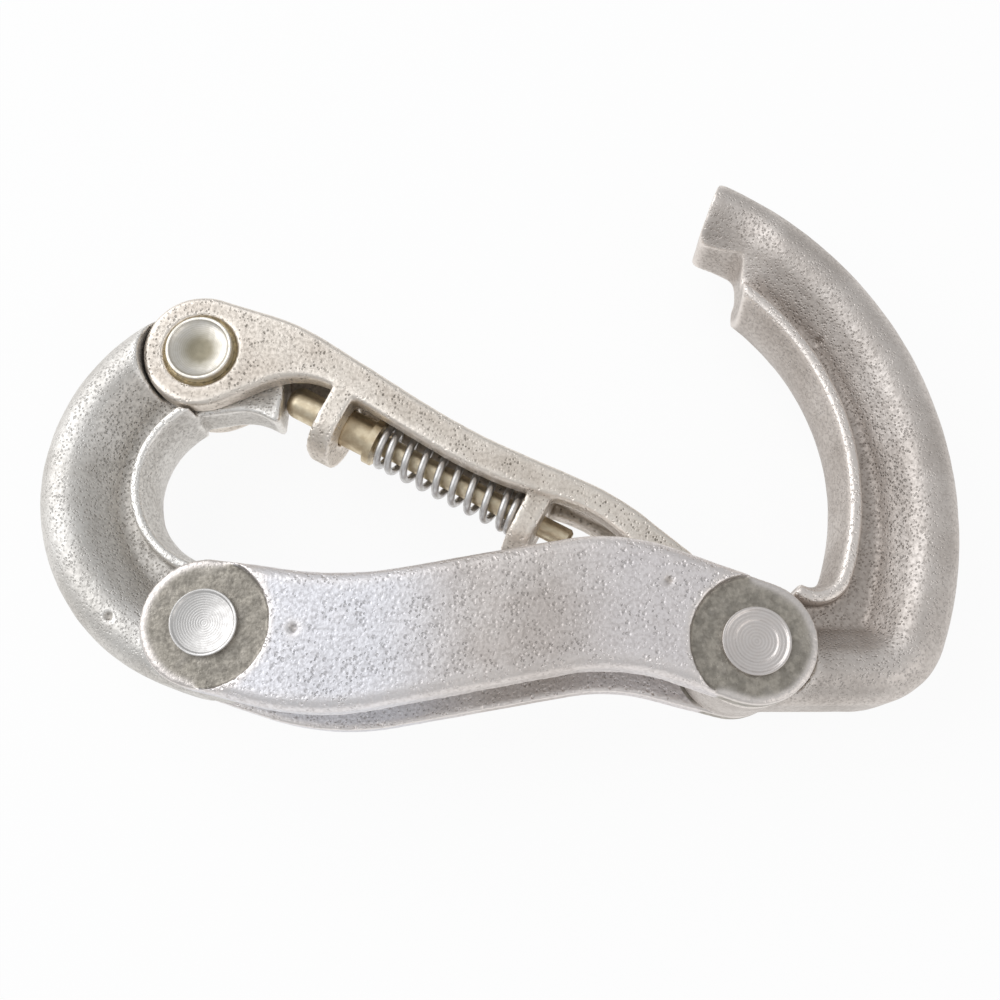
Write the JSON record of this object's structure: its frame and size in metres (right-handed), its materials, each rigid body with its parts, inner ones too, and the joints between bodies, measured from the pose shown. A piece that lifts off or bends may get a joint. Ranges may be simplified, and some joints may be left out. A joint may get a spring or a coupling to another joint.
{
  "type": "keychain carabiner",
  "caption": "Key ring carabiner with a cast bow and hook riveted between curved spine plates, and a long pivoting gate with a spring-loaded cam plunger.",
  "frame": {"origin": "on the rear spine plate's flat outer face, midway between the two spine rivets", "axes": "+X along the clip from the bow to the hook, +Y from the spine towards the gate, +Z from the rear spine plate to the front one"},
  "size_m": [0.0786, 0.0486, 0.016],
  "materials": {
    "cast_metal": "bright cast metal with fine pits",
    "rivet_metal": "turned and polished",
    "gate_metal": "worn cast metal, warmer tone",
    "plunger_brass": "turned, tarnished",
    "spring_wire": "drawn wire"
  },
  "bodies": {
    "frame": {"bow_body": "cast_metal", "hook_body": "cast_metal", "front_spine_plate": "cast_metal", "rear_spine_plate": "cast_metal", "bow_rivet": "rivet_metal", "hook_rivet": "rivet_metal", "gate_rivet": "rivet_metal"},
    "gate": {"gate": "gate_metal", "plunger_spring": "spring_wire"},
    "plunger": {"plunger": "plunger_brass"}
  },
  "joints": [
    {"name": "gate_swing", "type": "hinge", "parent": "frame", "child": "gate", "pos_m": [-0.0247, 0.02545, 0.008], "axis": [0, 0, 1], "range_deg": [0, 36]},
    {"name": "plunger_slide", "type": "slide", "parent": "gate", "child": "plunger", "axis": [0.8829, -0.4695, 0], "range_m": [-0.0017, 0], "deforming": ["plunger_spring"]}
  ],
  "couplings": [
    {"joint": "plunger_slide", "follows": "gate_swing", "m_per_rad": -0.002556}
  ]
}
